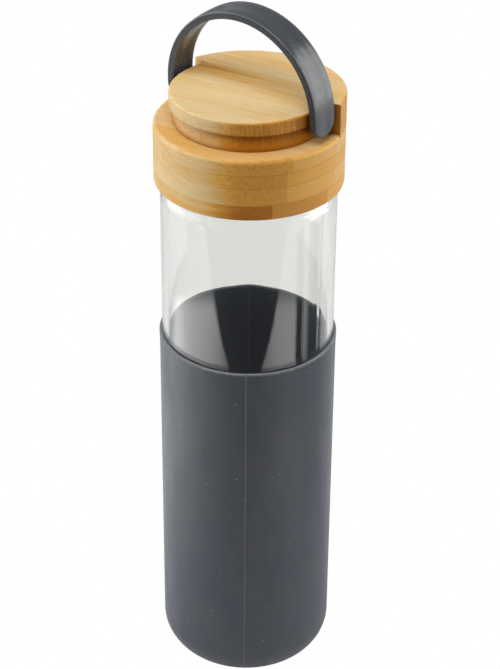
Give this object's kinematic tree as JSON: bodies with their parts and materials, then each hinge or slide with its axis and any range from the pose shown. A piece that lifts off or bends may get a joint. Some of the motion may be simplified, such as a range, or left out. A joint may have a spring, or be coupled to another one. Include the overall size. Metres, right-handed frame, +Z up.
{
  "type": "water bottle",
  "caption": "Clear glass bottle in a dark silicone sleeve, closed by a screw-on bamboo lid with a folding arched carry strap.",
  "frame": {"origin": "centre of the round base, on the face the bottle stands on", "axes": "+Z up along the bottle's axis; X is the strap's pivot axis, with the right pivot at +X; -Y is the front, the side the strap folds down to"},
  "size_m": [0.0706, 0.0706, 0.2814],
  "materials": {
    "clear_glass": "clear polished borosilicate",
    "sleeve_silicone": "matte moulded silicone",
    "bamboo": "laminated bamboo, fine sanded and oiled",
    "liner_plastic": "natural polypropylene",
    "gasket_silicone": "translucent white silicone",
    "strap_plastic": "matte soft-touch moulding",
    "pin_steel": "turned stainless",
    "bush_plastic": "moulded acetal"
  },
  "bodies": {
    "bottle": {"glass_bottle": "clear_glass", "silicone_sleeve": "sleeve_silicone"},
    "seal": {"seal_gasket": "gasket_silicone"},
    "lid": {"bamboo_lid": "bamboo", "thread_liner": "liner_plastic", "pivot_bush_right": "bush_plastic", "pivot_bush_left": "bush_plastic"},
    "strap": {"carry_strap": "strap_plastic", "pivot_pin_right": "pin_steel", "pivot_pin_left": "pin_steel"}
  },
  "joints": [
    {"name": "lid_lift", "type": "slide", "parent": "bottle", "child": "seal", "axis": [0, 0, 1], "range_m": [0, 0.0181]},
    {"name": "lid_turn", "type": "hinge", "parent": "seal", "child": "lid", "pos_m": [0, 0, 0.232], "axis": [0, 0, 1], "range_deg": [0, 540]},
    {"name": "strap_fold", "type": "hinge", "parent": "lid", "child": "strap", "pos_m": [0, 0, 0.2471], "axis": [1, 0, 0], "range_deg": [-22, 92]}
  ],
  "couplings": [
    {"joint": "lid_lift", "follows": "lid_turn", "m_per_rad": 0.0019099}
  ]
}
